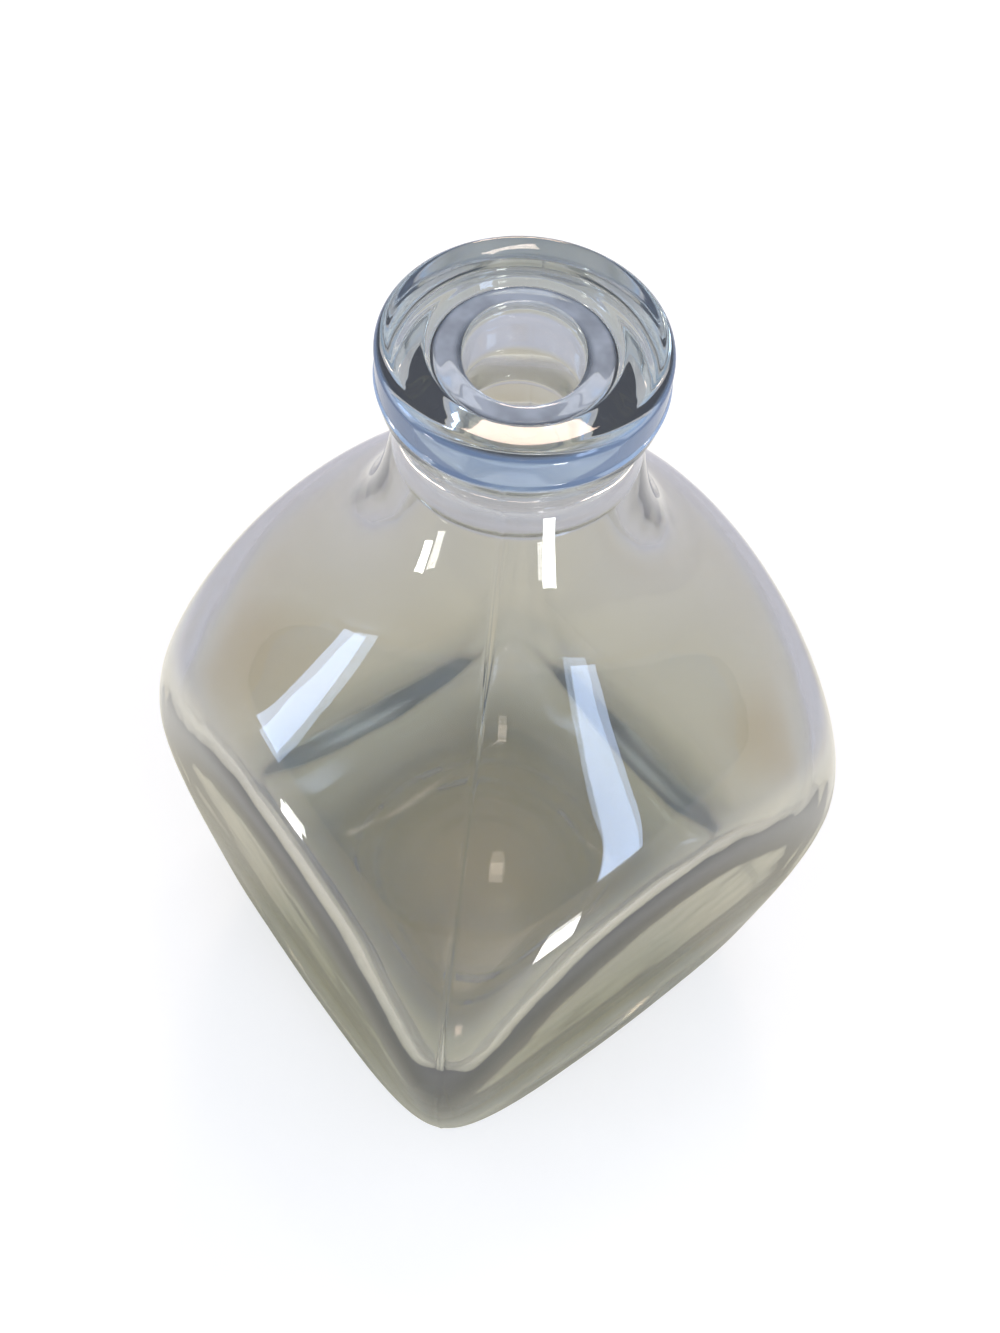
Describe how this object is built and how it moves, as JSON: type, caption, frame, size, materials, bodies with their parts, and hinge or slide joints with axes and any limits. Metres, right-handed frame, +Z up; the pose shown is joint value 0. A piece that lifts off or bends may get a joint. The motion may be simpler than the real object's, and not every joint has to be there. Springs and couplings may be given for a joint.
{
  "type": "whisky bottle",
  "caption": "Square whisky bottle in thick clear glass with bowed arched sides, domed shoulders, a short neck and an open flanged mouth with a stopper bore.",
  "frame": {"origin": "middle of the face that the bottle stands on", "axes": "+Z up along the bottle's axis to its mouth; the four bowed sides face +X, -X, +Y and -Y, the rounded corners lie between them"},
  "size_m": [0.0976, 0.0976, 0.1727],
  "materials": {
    "clear_glass": "clear gloss, faint grey-olive tint in the thick parts"
  },
  "bodies": {
    "root": {"glass_bottle": "clear_glass"}
  },
  "joints": []
}
